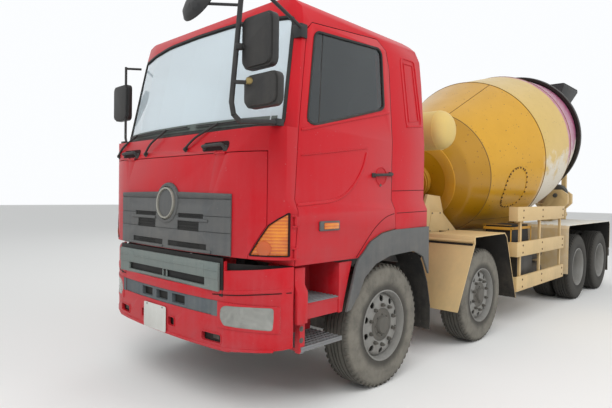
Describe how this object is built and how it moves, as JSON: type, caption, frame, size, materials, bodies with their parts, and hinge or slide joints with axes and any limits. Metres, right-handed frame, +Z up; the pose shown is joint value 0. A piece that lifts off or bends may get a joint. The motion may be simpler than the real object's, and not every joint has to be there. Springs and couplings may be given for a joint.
{
  "type": "concrete mixer truck",
  "caption": "Rigid concrete mixer truck with a tilting cab, steered front axles, twin-tyred rear axles, a turning drum, charge hopper and swinging chute.",
  "frame": {"origin": "middle of the truck's length and width, on the ground under the wheels", "axes": "+X forward, +Y to the truck's left, +Z up"},
  "size_m": [10.1056, 2.95, 3.8],
  "materials": {
    "red_paint": "gloss enamel, dusty",
    "beige_paint": "dull enamel",
    "yellow_paint": "dull enamel, dusty",
    "cream_paint": "dull enamel",
    "dark_steel": "chassis paint, dusty",
    "cast_metal": "as cast",
    "grey_plastic": "moulded, weathered",
    "black_plastic": "moulded",
    "amber_lens": "moulded lens",
    "clear_lens": "moulded lens",
    "window_glass": "tempered",
    "tyre_rubber": "dusty rubber",
    "seat_cloth": "woven"
  },
  "bodies": {
    "chassis": {"frame_rails": "dark_steel", "cross_members": "dark_steel", "front_beam": "dark_steel", "mixer_subframe": "beige_paint", "engine_block": "cast_metal", "gearbox": "cast_metal", "radiator": "black_plastic", "front_bumper": "red_paint", "bumper_band": "grey_plastic", "lower_grille": "grey_plastic", "headlamps": "clear_lens", "steer_axles": "dark_steel", "drive_axles": "dark_steel", "leaf_springs": "dark_steel", "propshafts": "dark_steel", "drum_stand_front": "beige_paint", "drum_gearbox": "yellow_paint", "drum_stand_rear": "beige_paint", "drum_rollers": "dark_steel", "water_tank": "cream_paint", "axle_2_fenders": "beige_paint", "rear_fenders": "beige_paint", "side_guards": "beige_paint", "front_mudguards": "grey_plastic", "step_boxes": "red_paint", "fuel_tank": "dark_steel", "battery_box": "black_plastic", "silencer": "dark_steel", "charge_hopper": "dark_steel", "discharge_funnel": "beige_paint", "rear_ladder": "yellow_paint", "rear_lamp_bar": "black_plastic"},
    "cab": {"cab_shell": "red_paint", "windscreen": "window_glass", "corner_lamps": "amber_lens", "arch_flares": "grey_plastic", "mirrors": "black_plastic", "seats": "seat_cloth", "dashboard": "black_plastic"},
    "door_left": {"door_left": "red_paint"},
    "door_right": {"door_right": "red_paint"},
    "front_lid": {"front_lid": "red_paint", "upper_grille": "grey_plastic"},
    "knuckle_1l": {"knuckle_1l": "dark_steel"},
    "wheel_1l": {"wheel_1l": "tyre_rubber"},
    "knuckle_1r": {"knuckle_1r": "dark_steel"},
    "wheel_1r": {"wheel_1r": "tyre_rubber"},
    "knuckle_2l": {"knuckle_2l": "dark_steel"},
    "wheel_2l": {"wheel_2l": "tyre_rubber"},
    "knuckle_2r": {"knuckle_2r": "dark_steel"},
    "wheel_2r": {"wheel_2r": "tyre_rubber"},
    "wheels_3l": {"wheels_3l": "tyre_rubber"},
    "wheels_3r": {"wheels_3r": "tyre_rubber"},
    "wheels_4l": {"wheels_4l": "tyre_rubber"},
    "wheels_4r": {"wheels_4r": "tyre_rubber"},
    "drum": {"drum_shell": "yellow_paint", "drum_blades": "yellow_paint"},
    "chute": {"chute": "beige_paint"},
    "chute_flap": {"chute_flap": "beige_paint"}
  },
  "joints": [
    {"name": "steer_1l", "type": "hinge", "parent": "chassis", "child": "knuckle_1l", "pos_m": [3.23, 0.871, 0.518], "axis": [0, 0, 1], "range_deg": [-34, 34]},
    {"name": "roll_1l", "type": "hinge", "parent": "knuckle_1l", "child": "wheel_1l", "pos_m": [3.23, 1.037, 0.518], "axis": [0, 1, 0], "continuous": true},
    {"name": "steer_1r", "type": "hinge", "parent": "chassis", "child": "knuckle_1r", "pos_m": [3.23, -0.871, 0.518], "axis": [0, 0, 1], "range_deg": [-34, 34]},
    {"name": "roll_1r", "type": "hinge", "parent": "knuckle_1r", "child": "wheel_1r", "pos_m": [3.23, -1.037, 0.518], "axis": [0, 1, 0], "continuous": true},
    {"name": "steer_2l", "type": "hinge", "parent": "chassis", "child": "knuckle_2l", "pos_m": [1.33, 0.871, 0.518], "axis": [0, 0, 1], "range_deg": [-22.5, 22.5]},
    {"name": "roll_2l", "type": "hinge", "parent": "knuckle_2l", "child": "wheel_2l", "pos_m": [1.33, 1.037, 0.518], "axis": [0, 1, 0], "continuous": true},
    {"name": "steer_2r", "type": "hinge", "parent": "chassis", "child": "knuckle_2r", "pos_m": [1.33, -0.871, 0.518], "axis": [0, 0, 1], "range_deg": [-22.5, 22.5]},
    {"name": "roll_2r", "type": "hinge", "parent": "knuckle_2r", "child": "wheel_2r", "pos_m": [1.33, -1.037, 0.518], "axis": [0, 1, 0], "continuous": true},
    {"name": "roll_3l", "type": "hinge", "parent": "chassis", "child": "wheels_3l", "pos_m": [-2.12, 0.939, 0.518], "axis": [0, 1, 0], "continuous": true},
    {"name": "roll_3r", "type": "hinge", "parent": "chassis", "child": "wheels_3r", "pos_m": [-2.12, -0.939, 0.518], "axis": [0, 1, 0], "continuous": true},
    {"name": "roll_4l", "type": "hinge", "parent": "chassis", "child": "wheels_4l", "pos_m": [-3.43, 0.939, 0.518], "axis": [0, 1, 0], "continuous": true},
    {"name": "roll_4r", "type": "hinge", "parent": "chassis", "child": "wheels_4r", "pos_m": [-3.43, -0.939, 0.518], "axis": [0, 1, 0], "continuous": true},
    {"name": "cab_tilt", "type": "hinge", "parent": "chassis", "child": "cab", "pos_m": [4.57, 0, 0.94], "axis": [0, 1, 0], "range_deg": [0, 50]},
    {"name": "door_left_swing", "type": "hinge", "parent": "cab", "child": "door_left", "pos_m": [4.353, 1.203, 1.8], "axis": [0, 0, -1], "range_deg": [0, 70]},
    {"name": "door_right_swing", "type": "hinge", "parent": "cab", "child": "door_right", "pos_m": [4.353, -1.203, 1.8], "axis": [0, 0, 1], "range_deg": [0, 70]},
    {"name": "front_lid_lift", "type": "hinge", "parent": "cab", "child": "front_lid", "pos_m": [4.578, 0, 1.903], "axis": [0, -1, 0], "range_deg": [0, 70]},
    {"name": "drum_spin", "type": "hinge", "parent": "chassis", "child": "drum", "pos_m": [1.23, 0, 1.735], "axis": [-0.969, 0, 0.247], "continuous": true},
    {"name": "chute_swing", "type": "hinge", "parent": "chassis", "child": "chute", "pos_m": [-4.17, 0, 1.5], "axis": [0, 0, 1], "range_deg": [-65, 65]},
    {"name": "chute_unfold", "type": "hinge", "parent": "chute", "child": "chute_flap", "pos_m": [-5.0131, 0, 1.269], "axis": [0, -1, 0], "range_deg": [0, 170]}
  ],
  "couplings": [
    {"joint": "steer_1r", "follows": "steer_1l", "ratio": 1},
    {"joint": "steer_2l", "follows": "steer_1l", "ratio": 0.65},
    {"joint": "steer_2r", "follows": "steer_1l", "ratio": 0.65}
  ]
}
